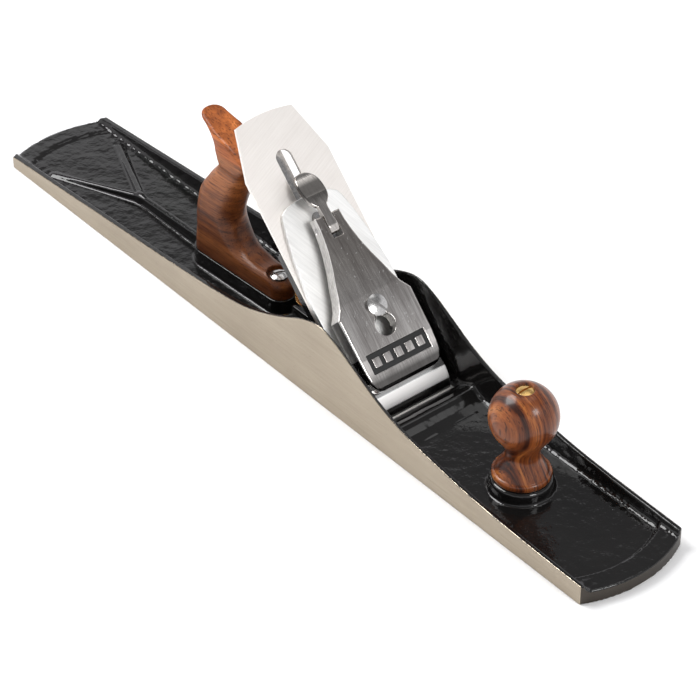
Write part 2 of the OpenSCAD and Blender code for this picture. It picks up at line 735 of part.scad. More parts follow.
// Low domed head on top of the local origin
module domed_head(r, rise) {
    ball_r = (r * r + rise * rise) / (2 * rise);
    rotate_extrude() intersection() {
        translate([0, rise - ball_r]) circle(ball_r, $fn = 96);
        square([r, rise]);
    }
}

module tote_toe_screw() {
    head_r = 5.6;
    color([0.75, 0.73, 0.66]) translate([toe_screw_x, 0, 0]) difference() {
        union() {
            translate([0, 0, 3.5]) cylinder(toe_head_z - 3, r = toe_screw_r);
            translate([0, 0, toe_head_z]) cylinder(1.6, r = head_r);
            translate([0, 0, toe_head_z + 1.59]) domed_head(head_r, 2);
        }
        rotate(71) translate([-8, -0.7, toe_head_z + 1.9]) cube([16, 1.4, 4]);
    }
}

module knob() {
    ball_z = 54.5;
    ball_r = 19.8;
    foot = [[0, boss_z], [16.2, boss_z], [16.9, boss_z + 1.2], [17.1, boss_z + 2.5], [16.8, boss_z + 3.8],
            [15.9, boss_z + 4.6], [15.2, boss_z + 5.2], [14.2, boss_z + 7], [12.1, boss_z + 10.4],
            [10.4, boss_z + 13.8], [9.8, boss_z + 17], [10.4, boss_z + 20.2], [12, boss_z + 23.6],
            [13.6, boss_z + 26.2]];
    ball = [for (a = [-40 : 6 : 68]) [ball_r * cos(a), ball_z + ball_r * sin(a)]];
    color([0.4, 0.18, 0.1]) translate([knob_x, 0, 0]) difference() {
        rotate_extrude() polygon(concat(foot, ball, [[6, 73.2], [0, 73.2]]));
        cylinder(open_h, r = nut_r + 0.1);
        translate([0, 0, 70]) cylinder(10, r = 5.4);
    }
}

module knob_rod() {
    color([0.6, 0.6, 0.6]) translate([knob_x, 0, bore_floor_z + 0.5]) cylinder(60, r = rod_r);
}

module knob_nut() {
    head_r = 5.2;
    color([0.8, 0.62, 0.3]) translate([knob_x, 0, 0]) difference() {
        union() {
            translate([0, 0, 46]) cylinder(25, r = nut_r);
            translate([0, 0, 70.05]) cylinder(2.2, r = head_r);
            translate([0, 0, 72.2]) domed_head(head_r, 1);
        }
        translate([0, 0, 40]) cylinder(23.1, r = rod_r + fit_gap);
        translate([-0.6, -8, 71.6]) cube([1.2, 16, 3]);
    }
}

bed();
frog();
frog_screws();
frog_screw_washers();
frog_adjusting_screw();
frog_clip();
frog_clip_screw();
depth_stud();
depth_collar();
depth_wheel();
y_lever();
y_lever_pin();
lateral_lever();
lateral_lever_disc();
lateral_lever_rivet();
cutter();
cap_iron();
cap_iron_screw();
lever_cap();
lever_cap_screw();
cam_lever();
cam_lever_pin();
leaf_spring();
leaf_spring_rivet();
tote();
tote_rod();
tote_nut();
tote_toe_screw();
knob();
knob_rod();
knob_nut();
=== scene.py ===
import math

import bpy
import numpy as np
from mathutils import Matrix, Vector


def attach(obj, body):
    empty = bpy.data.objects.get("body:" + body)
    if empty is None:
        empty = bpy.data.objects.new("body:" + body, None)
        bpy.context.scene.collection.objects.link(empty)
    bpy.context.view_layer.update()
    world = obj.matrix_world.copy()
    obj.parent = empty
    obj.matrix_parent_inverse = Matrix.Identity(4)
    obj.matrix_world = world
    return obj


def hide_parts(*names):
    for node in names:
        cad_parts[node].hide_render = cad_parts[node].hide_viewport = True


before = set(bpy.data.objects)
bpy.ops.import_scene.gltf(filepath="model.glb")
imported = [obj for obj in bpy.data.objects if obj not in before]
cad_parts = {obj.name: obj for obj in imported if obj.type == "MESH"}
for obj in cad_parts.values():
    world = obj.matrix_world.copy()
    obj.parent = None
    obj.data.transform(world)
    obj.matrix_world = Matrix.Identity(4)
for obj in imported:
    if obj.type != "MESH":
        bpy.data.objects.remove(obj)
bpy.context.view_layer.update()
MM = 0.001
# Where the bed's line through the cutter's edge meets the sole
EDGE_X = 90
collection = bpy.context.scene.collection

# ------------------------------------------------------------------ camera
# The photograph's lens, distance and aim, as fitted to corners of the plane
CAM_AZIMUTH = math.radians(51.133)
CAM_ELEVATION = math.radians(37.771)
CAM_ROLL = math.radians(-0.537)
CAM_AIM = Vector((0.022122, 0.008406, 0))
CAM_DISTANCE = 1.576258
CAM_LENS, CAM_SENSOR = 135.97, 36


def make_camera():
    back = Vector((math.sin(CAM_AZIMUTH) * math.cos(CAM_ELEVATION),
                   -math.cos(CAM_AZIMUTH) * math.cos(CAM_ELEVATION), math.sin(CAM_ELEVATION)))
    level = (-back).cross(Vector((0, 0, 1))).normalized()
    upright = level.cross(-back)
    right = level * math.cos(CAM_ROLL) + upright * math.sin(CAM_ROLL)
    up = upright * math.cos(CAM_ROLL) - level * math.sin(CAM_ROLL)
    camera = bpy.data.objects.new("camera", bpy.data.cameras.new("camera"))
    camera.data.lens, camera.data.sensor_width = CAM_LENS, CAM_SENSOR
    camera.data.clip_end = 20
    place = Matrix((right, up, back)).transposed().to_4x4()
    place.translation = CAM_AIM + back * CAM_DISTANCE
    camera.matrix_world = place
    collection.objects.link(camera)
    bpy.context.scene.camera = camera


make_camera()

# ------------------------------------------------------------------ shapes as fields
# A field is a function of x, y and z that is negative inside the solid. Lengths are in millimetres.


def meet(a, b, r):
    """What two fields share, with their edge rounded to radius r."""
    u, v = np.maximum(a + r, 0), np.maximum(b + r, 0)
    return np.minimum(np.maximum(a, b), -r) + np.sqrt(u * u + v * v)


def join(a, b, r):
    """Two fields together, with a fillet of radius r between them."""
    return -meet(-a, -b, r)


def cut(a, b, r):
    """Field a with field b taken out of it, with the edge rounded to radius r."""
    return meet(a, -b, r)


def curve(points, steps, closed):
    """Catmull-Rom curve through points; an open one uses its first and last points only as guides."""
    p = np.array(points, float)
    n = len(p)
    spans = range(n) if closed else range(1, n - 2)
    out = []
    for i in spans:
        a, b, c, d = (p[(i + k) % n] for k in ((0, 1, 2, 3) if closed else (-1, 0, 1, 2)))
        for k in range(steps):
            t = k / steps
            out.append(0.5 * (2 * b + (c - a) * t + (2 * a - 5 * b + 4 * c - d) * t ** 2
                              + (3 * b - a - 3 * c + d) * t ** 3))
    if not closed:
        out.append(p[n - 2])
    return np.array(out)


def outline_distance(u, v, points):
    """Signed distance from (u, v) to a closed outline."""
    u, v = np.broadcast_arrays(u, v)
    best = np.full(u.shape, 1e12)
    inside = np.zeros(u.shape, bool)
    for a, b in zip(points, np.roll(points, -1, axis=0)):
        ex, ey = b - a
        wx, wy = u - a[0], v - a[1]
        t = np.clip((wx * ex + wy * ey) / max(ex * ex + ey * ey, 1e-12), 0, 1)
        best = np.minimum(best, (wx - ex * t) ** 2 + (wy - ey * t) ** 2)
        if ey != 0:
            inside ^= ((a[1] > v) != (b[1] > v)) & (u < ex * (v - a[1]) / ey + a[0])
    return np.where(inside, -1, 1) * np.sqrt(best)


def taper_bar(u, v, a, b, ra, rb):
    """Distance in a plane to a bar from a to b whose half width goes from ra to rb, with round ends."""
    span = np.array(b, float) - a
    t = np.clip(((u - a[0]) * span[0] + (v - a[1]) * span[1]) / (span @ span), 0, 1)
    return np.hypot(u - a[0] - span[0] * t, v - a[1] - span[1] * t) - (ra + (rb - ra) * t)


def block(x, y, z, low, high):
    """Field of an upright block."""
    return np.maximum(np.maximum(np.maximum(low[0] - x, x - high[0]), np.maximum(low[1] - y, y - high[1])),
                      np.maximum(low[2] - z, z - high[2]))


class Ripple:
    """Smooth random waves over a plane, the same on every run."""

    def __init__(self, seed, size):
        self.lattice = np.random.RandomState(seed).uniform(-1, 1, (64, 64))
        self.size = size

    def __call__(self, x, y):
        u, v = np.broadcast_arrays(x / self.size + 1000, y / self.size + 1000)
        i, j = np.floor(u).astype(int), np.floor(v).astype(int)
        s, t = u - i, v - j
        s, t = s * s * (3 - 2 * s), t * t * (3 - 2 * t)
        at = lambda di, dj: self.lattice[(i + di) % 64, (j + dj) % 64]
        return ((at(0, 0) * (1 - s) + at(1, 0) * s) * (1 - t) + (at(0, 1) * (1 - s) + at(1, 1) * s) * t)


def cell_edges():
    """The twelve edges of a grid cell, each as its two corners."""
    for axis in range(3):
        low, high = (i for i in range(3) if i != axis)
        for far in (0, 1):
            for near in (0, 1):
                start = np.zeros(3, int)
                start[low], start[high] = near, far
                yield start, start + np.eye(3, dtype=int)[axis]


def slope(field, p, reach):
    """Direction in which the field rises at each point, not yet of length one."""
    steps = np.eye(3) * reach
    return np.stack([field(*(p + s).T) - field(*(p - s).T) for s in steps], axis=1) / (2 * reach)


def spaced(low, high, step):
    """Grid lines along one axis, reaching a little past both ends."""
    return np.arange(low - 1.5 * step, high + 2.5 * step, step)


def crossing_middles(f, cells):
    """For each cell, the middle of the points where the surface crosses its edges, counted in cells."""
    total, count = np.zeros((len(cells), 3)), np.zeros(len(cells))
    for a, b in cell_edges():
        fa, fb = f[tuple((cells + a).T)], f[tuple((cells + b).T)]
        crossed = (fa < 0) != (fb < 0)
        t = np.where(crossed, fa / np.where(crossed, fa - fb, 1), 0)
        total += np.where(crossed[:, None], a + t[:, None] * (b - a), 0)
        count += crossed
    return cells + total / count[:, None]


def drawn_on(field, points, size):
    """Points moved on to the surface, each by no more than a share of its cell's size."""
    most = 0.6 * size
    moved = points
    for _ in range(3):
        rise = slope(field, moved, 0.02)
        moved = moved - rise * (field(*moved.T) / np.maximum((rise ** 2).sum(1), 0.05))[:, None]
        moved = points + np.clip(moved - points, -most, most)
    return moved


def cell_faces(inside, number):
    """A face between four cells at each grid edge that leaves the solid or enters it."""
    faces = []
    for axis in range(3):
        b, c = (axis + 1) % 3, (axis + 2) % 3
        lead, rest = [slice(None)] * 3, [slice(None)] * 3
        lead[axis], rest[axis] = slice(0, -1), slice(1, None)
        here, there = inside[tuple(lead)], inside[tuple(rest)]
        for leaving in (True, False):
            at = np.argwhere(here & ~there if leaving else ~here & there)
            ring = []
            for db, dc in ((0, 0), (1, 0), (1, 1), (0, 1)):
                q = at.copy()
                q[:, b] -= 1 - db
                q[:, c] -= 1 - dc
                ring.append(number[tuple(q.T)])
            faces.append(np.stack(ring if leaving else ring[::-1], axis=1))
    return np.concatenate(faces)


def solid(name, field, axes, place=None):
    """Mesh of the field's surface: one point in each grid cell that the surface crosses, drawn on to it."""
    f = field(axes[0][:, None, None], axes[1][None, :, None], axes[2][None, None, :]).astype(np.float32)
    inside = f < 0
    nx, ny, nz = (n - 1 for n in f.shape)
    corners = sum(inside[i:nx + i, j:ny + j, k:nz + k].astype(np.int8)
                  for i in (0, 1) for j in (0, 1) for k in (0, 1))
    cells = np.argwhere((corners > 0) & (corners < 8))
    spot = crossing_middles(f, cells)
    points = np.stack([np.interp(spot[:, i], np.arange(len(axes[i])), axes[i]) for i in range(3)], axis=1)
    size = np.stack([np.diff(axes[i])[cells[:, i]] for i in range(3)], axis=1)
    points = drawn_on(field, points, size)
    number = np.full(corners.shape, -1, np.int32)
    number[tuple(cells.T)] = np.arange(len(cells))
    normals = slope(field, points, 0.08)
    normals /= np.maximum(np.linalg.norm(normals, axis=1), 1e-9)[:, None]
    return mesh_piece(name, points, cell_faces(inside, number), normals, place)


def mesh_piece(name, points, faces, normals=None, place=None):
    """Object from points in millimetres and faces of four corners."""
    mesh = bpy.data.meshes.new(name)
    mesh.vertices.add(len(points))
    mesh.vertices.foreach_set("co", (points * MM).astype(np.float32).ravel())
    mesh.loops.add(faces.size)
    mesh.loops.foreach_set("vertex_index", faces.ravel().astype(np.int32))
    mesh.polygons.add(len(faces))
    mesh.polygons.foreach_set("loop_start", np.arange(0, faces.size, 4, dtype=np.int32))
    mesh.polygons.foreach_set("loop_total", np.full(len(faces), 4, np.int32))
    mesh.update(calc_edges=True)
    mesh.shade_smooth()
    if normals is not None:
        mesh.normals_split_custom_set_from_vertices(normals.tolist())
    if place is not None:
        mesh.transform(place)
    piece = bpy.data.objects.new(name, mesh)
    collection.objects.link(piece)
    return piece


def lathe(name, profile, centre, around):
    """Turned piece about an upright axis, from a closed loop of (radius, height)."""
    n, turn = len(profile), np.arange(around) * 2 * math.pi / around
    radius, height = profile[:, None, 0], profile[:, None, 1]
    points = np.stack([centre[0] + radius * np.cos(turn), centre[1] + radius * np.sin(turn),
                       height + 0 * turn], axis=-1).reshape(-1, 3)
    i, j = np.meshgrid(np.arange(n), np.arange(around), indexing="ij")
    at = lambda di, dj: ((i + di) % n * around + (j + dj) % around).ravel()
    return mesh_piece(name, points, np.stack([at(0, 0), at(0, 1), at(1, 1), at(1, 0)], axis=1))


def finish_piece(piece, body, slot, material, *nodes):
    """Gives a piece its material and its body, and hides the CAD nodes it stands for; the slot argument is
    not used.
    """
    piece.data.materials.append(material)
    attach(piece, body)
    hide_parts(*nodes)


# ------------------------------------------------------------------ materials


class Look:
    """A material built from nodes. Lengths in its patterns are in millimetres."""

    def __init__(self, name, **values):
        self.material = bpy.data.materials.new(name)
        self.material.use_nodes = True
        self.tree = self.material.node_tree
        self.tree.nodes.clear()
        self.shader = self.tree.nodes.new("ShaderNodeBsdfPrincipled")
        output = self.tree.nodes.new("ShaderNodeOutputMaterial")
        self.tree.links.new(self.shader.outputs[0], output.inputs["Surface"])
        self.place = self.tree.nodes.new("ShaderNodeTexCoord").outputs["Object"]
        self.set(**values)

    def set(self, **values):
        for key, value in values.items():
            self.plug(value, self.shader.inputs[key.replace("_", " ")])

    def plug(self, value, socket):
        if isinstance(value, bpy.types.NodeSocket):
            self.tree.links.new(value, socket)
        elif isinstance(value, (tuple, list)) and len(value) == 3 and socket.type == "RGBA":
            socket.default_value = (*value, 1)
        else:
            socket.default_value = value

    def math(self, operation, *values):
        node = self.tree.nodes.new("ShaderNodeMath")
        node.operation = operation
        for value, socket in zip(values, node.inputs):
            self.plug(value, socket)
        return node.outputs[0]

    def plus(self, a, b):
        return self.math("ADD", a, b)

    def minus(self, a, b):
        return self.math("SUBTRACT", a, b)

    def times(self, a, b):
        return self.math("MULTIPLY", a, b)

    def within(self, distance, middle, half):
        """1 where a distance is less than half a width from the middle, in millimetres, and 0 elsewhere."""
        return self.math("LESS_THAN", self.math("ABSOLUTE", self.minus(distance, middle * MM)), half * MM)

    def even(self, scale):
        """Place for a pattern with the same cycles per millimetre along every axis."""
        return self.stretched((scale, scale, scale))

    def stretched(self, scale, turn=(0, 0, 0), start=(0, 0, 0)):
        """Place times scale, in cycles per millimetre along each axis, then turned and moved.

        The turn comes after the scale, so it picks another part of a pattern and leaves its direction."""
        node = self.tree.nodes.new("ShaderNodeMapping")
        node.inputs["Location"].default_value = start
        node.inputs["Rotation"].default_value = turn
        node.inputs["Scale"].default_value = [s / MM for s in scale]
        self.tree.links.new(self.place, node.inputs["Vector"])
        return node.outputs[0]

    def noise(self, where, detail=2, roughness=0.5, distortion=0):
        node = self.tree.nodes.new("ShaderNodeTexNoise")
        self.tree.links.new(where, node.inputs["Vector"])
        values = {"Scale": 1, "Detail": detail, "Roughness": roughness, "Distortion": distortion}
        for key, value in values.items():
            node.inputs[key].default_value = value
        return node.outputs["Fac"]

    def axis(self, index):
        node = self.tree.nodes.new("ShaderNodeSeparateXYZ")
        self.tree.links.new(self.place, node.inputs[0])
        return node.outputs[index]

    def bed_place(self):
        """Distances up the bed, across it and off the cutter's face, in metres."""
        x, y, z = (self.axis(i) for i in range(3))
        ahead = self.minus(x, EDGE_X * MM)
        up = self.times(self.minus(z, ahead), math.sqrt(0.5))
        off = self.times(self.plus(z, ahead), math.sqrt(0.5))
        return up, y, off

    def bed_streaks(self, along, across, turn=0.0):
        """Place on the bed in cycles per millimetre, along lines that turn away from straight up the bed."""
        up, side, off = self.bed_place()
        node = self.tree.nodes.new("ShaderNodeCombineXYZ")
        c, n = math.cos(turn), math.sin(turn)
        lengthwise = self.plus(self.times(up, c), self.times(side, n))
        crosswise = self.minus(self.times(side, c), self.times(up, n))
        for socket, value, scale in zip(node.inputs, (lengthwise, crosswise, off), (along, across, across)):
            self.plug(self.times(value, scale / MM), socket)
        return node.outputs[0]

    def ramp(self, value, *stops):
        """Value to colour or grey through (position, colour) stops."""
        node = self.tree.nodes.new("ShaderNodeValToRGB")
        self.plug(value, node.inputs[0])
        points = node.color_ramp.elements
        while len(points) < len(stops):
            points.new(0.5)
        for point, (position, colour) in zip(points, stops):
            point.position = position
            point.color = (*colour, 1) if isinstance(colour, tuple) else (colour, colour, colour, 1)
        return node.outputs[0]

    def over(self, distance, reach, *stops):
        """Ramp over a distance. Stops are (millimetres, colour), and none is past the reach."""
        share = self.times(distance, 1 / (reach * MM))
        return self.ramp(share, *[(place / reach, colour) for place, colour in stops])

    def mix(self, share, a, b, kind="MIX"):
        """Between two colours, or their product where the kind is MULTIPLY."""
        node = self.tree.nodes.new("ShaderNodeMix")
        node.data_type, node.blend_type = "RGBA", kind
        self.plug(share, node.inputs[0])
        self.plug(a, node.inputs[6])
        self.plug(b, node.inputs[7])
        return node.outputs[2]

    def blend(self, share, a, b):
        """Between two plain numbers."""
        return self.plus(self.times(share, b - a), a)

    def weigh(self, a, b, share):
        """Weighted mean of two patterns, where share is the weight of the second."""
        return self.plus(self.times(a, 1 - share), self.times(b, share))

    def around(self, middle, pattern, spread):
        """Number that a pattern moves up and down about a middle value."""
        return self.plus(self.times(pattern, spread), middle - spread / 2)

    def bump(self, *layers):
        """Bump from (height, depth in millimetres) layers."""
        last = None
        for height, depth in layers:
            node = self.tree.nodes.new("ShaderNodeBump")
            node.inputs["Strength"].default_value = 1
            node.inputs["Distance"].default_value = depth * MM
            self.tree.links.new(height, node.inputs["Height"])
            if last is not None:
                self.tree.links.new(last, node.inputs["Normal"])
            last = node.outputs[0]
        self.tree.links.new(last, self.shader.inputs["Normal"])


# ------------------------------------------------------------------ sizes that finishes and shapes share
# On the bed, s runs up it, y across it and n off the cutter's face
SOLE_W, END_CENTRE_X, END_R = 75, 198.97, 81.03
FACE_N, FACE_BREAK_S, FACE_FALL, WALL_START_S = 17, 72, 0.047, 40
PANEL_S, PANEL_HALF_S, PANEL_HALF_Y, PANEL_DEPTH = 34.5, 6, 21.3, 1.2
# How far a finish reaches in past the face that it belongs to
SKIN = 0.1

# ------------------------------------------------------------------ finishes


def cast_iron_bed():
    """Ground sides and sole, dull dark ends, and glossy black everywhere else."""
    look = Look("ground_iron_and_japan", IOR=1.5)
    x, y, z = (look.axis(i) for i in range(3))
    off_end = look.math("MAXIMUM", look.minus(look.math("ABSOLUTE", x), END_CENTRE_X * MM), 0.0)
    reach = look.math("SQRT", look.plus(look.math("POWER", off_end, 2.0), look.math("POWER", y, 2.0)))
    on_end = look.math("GREATER_THAN", reach, (END_R - 0.09) * MM)
    # The black is worn off along the rails' edges in a ragged line
    wear = look.times(look.noise(look.even(0.3), detail=4, roughness=0.7), 0.9 * MM)
    out = look.math("ABSOLUTE", y)
    on_side = look.math("GREATER_THAN", look.plus(out, wear), (SOLE_W / 2 - SKIN) * MM)
    worn_edge = look.math("LESS_THAN", out, (SOLE_W / 2 - 0.08) * MM)
    below = look.math("LESS_THAN", z, SKIN * MM)
    ground = look.math("MAXIMUM", look.math("MAXIMUM", on_side, on_end), below)
    grind = look.noise(look.stretched((0.035, 1.5, 2.6)), detail=4, roughness=0.65)
    cloud = look.noise(look.stretched((0.02, 0.05, 0.05)), detail=3)
    metal = look.ramp(look.weigh(grind, cloud, 0.4), (0.3, (0.33, 0.278, 0.215)),
                      (0.5, (0.395, 0.338, 0.265)), (0.72, (0.465, 0.405, 0.325)))
    pits = look.ramp(look.noise(look.even(1.1)), (0.66, 0.0), (0.72, 0.5))
    pit_brown, end_grey = (0.2, 0.17, 0.14), (0.052, 0.046, 0.042)
    metal = look.mix(pits, metal, pit_brown)
    metal = look.mix(look.times(on_end, 0.94), metal, end_grey)
    haze = look.noise(look.even(0.09), detail=4)
    black = look.mix(haze, (0.0045, 0.0042, 0.0042), (0.0085, 0.0078, 0.0076))
    polish = look.times(look.times(worn_edge, on_side), 0.2)
    look.set(Base_Color=look.mix(ground, black, metal), Metallic=ground,
             Roughness=look.minus(look.blend(ground, 0.08, 0.4), polish))
    # Orange peel and dust in the black, calmer round the rib at the mouth
    orange = look.noise(look.even(0.16), detail=3, roughness=0.55)
    dust = look.noise(look.even(0.75))
    calm = look.over(x, 200, (88, 1.0), (92, 0.12), (120, 0.12), (126, 1.0))
    wet = look.times(look.minus(1.0, ground), calm)
    look.bump((look.times(orange, wet), 0.32), (look.times(dust, wet), 0.03),
              (look.times(grind, ground), 0.012))
    return look.material


def japanning():
    """Glossy black with orange peel."""
    look = Look("japanning", IOR=1.5, Roughness=0.14)
    haze = look.noise(look.even(0.1), detail=4)
    look.set(Base_Color=look.mix(haze, (0.005, 0.005, 0.005), (0.011, 0.010, 0.010)))
    look.bump((look.noise(look.even(0.2), detail=3), 0.5), (look.noise(look.even(0.9)), 0.06))
    return look.material


def bare_metal(name, dark, light, rough, grain):
    """Metal with drawn-out grain. grain gives the pattern's cycles per millimetre along each axis."""
    look = Look(name, Metallic=1.0)
    lines = look.noise(look.stretched(grain), detail=4, roughness=0.65)
    cloud = look.noise(look.even(0.06), detail=3)
    look.set(Base_Color=look.ramp(look.weigh(lines, cloud, 0.35), (0.3, dark), (0.7, light)),
             Roughness=look.around(rough, lines, 0.08))
    look.bump((lines, 0.01))
    return look.material


def cutter_metal():
    """Pale steel with grinding lines that slant across the bed."""
    look = Look("cutter_steel", Metallic=1.0)
    lines = look.noise(look.bed_streaks(0.03, 1.3, turn=1.15), detail=4, roughness=0.7)
    cloud = look.noise(look.even(0.05), detail=3)
    dark, light = (0.77, 0.725, 0.685), (0.92, 0.885, 0.85)
    look.set(Base_Color=look.ramp(look.weigh(lines, cloud, 0.3), (0.22, dark), (0.78, light)),
             Roughness=look.around(0.46, lines, 0.08))
    look.bump((lines, 0.006))
    return look.material


def cap_iron_metal():
    """Satin plate with slanting brush marks, and a nose with a painted dark reflection on its forward face
    and a painted bright reflection in a stripe behind it.
    """
    look = Look("cap_iron_steel", Metallic=1.0)
    up = look.bed_place()[0]
    plate = look.over(up, 100, (17, 0.0), (30, 1.0))
    # Painted dark reflection on the nose's forward face, and a painted bright reflection in a stripe behind
    # it, which is also made rougher
    painted_dark_nose = look.over(up, 100, (6.8, 1.0), (7.8, 0.0))
    painted_glare_strip = look.over(up, 100, (7.4, 0.0), (8, 1.0), (14.5, 1.0), (16, 0.0))
    slant = -0.5
    lines = look.noise(look.bed_streaks(0.03, 0.8, slant), detail=4, roughness=0.7)
    slow = look.noise(look.bed_streaks(0.02, 0.07, slant))
    dark, light = (0.76, 0.755, 0.74), (0.96, 0.955, 0.94)
    steel = look.ramp(look.weigh(lines, slow, 0.5), (0.34, dark), (0.62, light))
    steel = look.mix(painted_dark_nose, steel, (0.30, 0.29, 0.28))
    steel = look.mix(painted_glare_strip, steel, (0.97, 0.955, 0.94))
    rough = look.plus(look.blend(plate, 0.13, 0.42), look.times(painted_glare_strip, 0.4))
    look.set(Base_Color=steel, Roughness=look.plus(rough, look.times(lines, 0.06)))
    look.bump((look.times(lines, plate), 0.02))
    return look.material


def lever_cap_metal():
    """Polished face with fine scratches, painted light and shade along it and a painted dark reflection on
    its lower end, satin side walls, and a panel painted black.
    """
    look = Look("lever_cap_plate", Metallic=1.0)
    up, side, off = look.bed_place()
    # The walls are what lies lower than the face, which falls away past its break
    fall = look.times(look.math("MAXIMUM", look.minus(up, FACE_BREAK_S * MM), 0.0), FACE_FALL)
    depth = look.minus(look.minus(FACE_N * MM, fall), off)
    wall = look.over(depth, 1, (0.22, 0.0), (0.5, 1.0))
    wall = look.times(wall, look.math("GREATER_THAN", up, WALL_START_S * MM))
    in_panel = look.times(look.within(up, PANEL_S, PANEL_HALF_S + 0.15),
                          look.within(side, 0, PANEL_HALF_Y + 0.15))
    paint = look.times(in_panel, look.math("LESS_THAN", off, (FACE_N - 0.65) * MM))
    brush = look.noise(look.bed_streaks(0.05, 1.1), detail=4, roughness=0.7)
    slow = look.noise(look.bed_streaks(0.02, 0.10), detail=3, roughness=0.6)
    dark, light = (0.36, 0.335, 0.32), (0.74, 0.715, 0.69)
    face = look.ramp(look.weigh(brush, slow, 0.55), (0.36, dark), (0.64, light))
    # Painted light and shade: lighter low on the face, darker higher up it
    shade = look.over(up, 200, (40, 1.18), (66, 1.0), (92, (0.72, 0.70, 0.68)))
    face = look.mix(1.0, face, shade, kind="MULTIPLY")
    nicks = look.noise(look.bed_streaks(0.30, 0.85, turn=0.35), detail=3, roughness=0.75)
    face = look.mix(look.ramp(nicks, (0.645, 0.0), (0.68, 0.9)), face, (0.92, 0.91, 0.89))
    # Painted dark reflection on the lower end of the face
    painted_lip_reflection = look.over(up, 100, (23.5, 0.9), (31, 0.0))
    face = look.mix(painted_lip_reflection, face, (0.05, 0.048, 0.046))
    satin = look.ramp(look.noise(look.bed_streaks(0.04, 0.8), detail=4, roughness=0.7),
                      (0.32, (0.55, 0.53, 0.51)), (0.68, (0.92, 0.90, 0.87)))
    black = (0.012, 0.012, 0.012)
    colour = look.mix(paint, look.mix(wall, face, satin), black)
    rough = look.plus(look.blend(wall, 0.14, 0.38), look.times(brush, 0.06))
    look.set(Base_Color=colour, Metallic=look.minus(1.0, paint),
             Roughness=look.math("MAXIMUM", rough, look.times(paint, 0.32)))
    look.bump((brush, 0.006), (slow, 0.05))
    return look.material


def cam_lever_metal():
    """Polished, with a painted dark reflection across the thumb piece."""
    look = Look("cam_lever_plate", Metallic=1.0, Roughness=0.13)
    up = look.bed_place()[0]
    lines = look.noise(look.bed_streaks(0.08, 0.9), detail=4, roughness=0.7)
    plain = look.ramp(lines, (0.34, (0.42, 0.395, 0.37)), (0.66, (0.62, 0.59, 0.56)))
    # Painted dark reflection across the thumb piece
    painted_reflection_band = look.over(up, 200, (131, 0.0), (138, 0.9), (144, 0.9), (148.4, 0.0))
    look.set(Base_Color=look.mix(painted_reflection_band, plain, (0.045, 0.042, 0.04)))
    look.bump((lines, 0.003))
    return look.material


def wood(name, colours, contrast, grain, pores, figure, rough, coat, turn=(0, 0, 0), painted_shading_stops=None):
    """Varnished wood: colours from dark to light, with streaks, fine pores and slow figure.

    The optional stops, up the piece in millimetres, multiply the colour: painted shade low down and painted
    light higher up."""
    look = Look(name, IOR=1.45, Specular_IOR_Level=0.3, Coat_Weight=coat, Coat_Roughness=0.14, Coat_IOR=1.5)
    streak = look.noise(look.stretched(grain, turn), detail=5, roughness=0.62, distortion=0.12)
    slow = look.noise(look.stretched(figure, turn, start=(3, 1, 7)), detail=3, roughness=0.5, distortion=0.15)
    fine = look.noise(look.stretched(pores, turn), roughness=0.6)
    n = len(colours) - 1
    stops = [(0.5 + contrast * (2 * i / n - 1), colour) for i, colour in enumerate(colours)]
    colour = look.ramp(look.weigh(streak, slow, 0.45), *stops)
    colour = look.mix(look.ramp(fine, (0.54, 0.0), (0.66, 0.7)), colour, colours[0], kind="MULTIPLY")
    if painted_shading_stops:
        # Painted shade low on the piece and painted light toward its top, multiplied into the colour
        colour = look.mix(1.0, colour, look.over(look.axis(2), 100, *painted_shading_stops), kind="MULTIPLY")
    look.set(Base_Color=colour, Roughness=look.around(rough, fine, 0.16))
    look.bump((fine, 0.035), (streak, 0.03))
    return look.material


looks = {
    "ground_iron": cast_iron_bed(),
    "japanning": japanning(),
    "cutter_steel": cutter_metal(),
    "cap_iron_steel": cap_iron_metal(),
    "steel": bare_metal("steel", (0.34, 0.335, 0.33), (0.66, 0.65, 0.64), 0.2, (0.5, 0.5, 0.5)),
    "spring_steel": bare_metal("spring_steel", (0.26, 0.27, 0.3), (0.42, 0.43, 0.46), 0.3, (0.8, 0.8, 0.8)),
    "lever_cap_plate": lever_cap_metal(),
    "cam_lever_plate": cam_lever_metal(),
    "brass": bare_metal("brass", (0.55, 0.32, 0.10), (0.90, 0.62, 0.26), 0.26, (0.6, 2.0, 2.0)),
    "tote_wood": wood(
        "tote_wood", contrast=0.15, rough=0.44, coat=0.12, turn=(0, math.radians(5), 0),
        colours=((0.055, 0.014, 0.004), (0.15, 0.043, 0.011), (0.26, 0.082, 0.022), (0.40, 0.145, 0.045)),
        grain=(0.02, 0.12, 0.36), pores=(0.05, 1.3, 1.7), figure=(0.008, 0.05, 0.06),
        # Painted shade toward the foot and painted light on the horn
        painted_shading_stops=((20, (0.36, 0.31, 0.29)), (42, (0.58, 0.53, 0.49)), (75, (0.95, 0.90, 0.80)),
                (97, (0.98, 0.95, 0.9)), (100, (1.7, 1.5, 1.25)))),
    "knob_wood": wood(
        "knob_wood", contrast=0.125, rough=0.34, coat=0.34,
        colours=((0.03, 0.007, 0.003), (0.12, 0.029, 0.008), (0.25, 0.069, 0.016), (0.42, 0.145, 0.036)),
        grain=(0.035, 0.42, 0.004), pores=(0.4, 1.8, 0.02), figure=(0.02, 0.19, 0.003)),
}

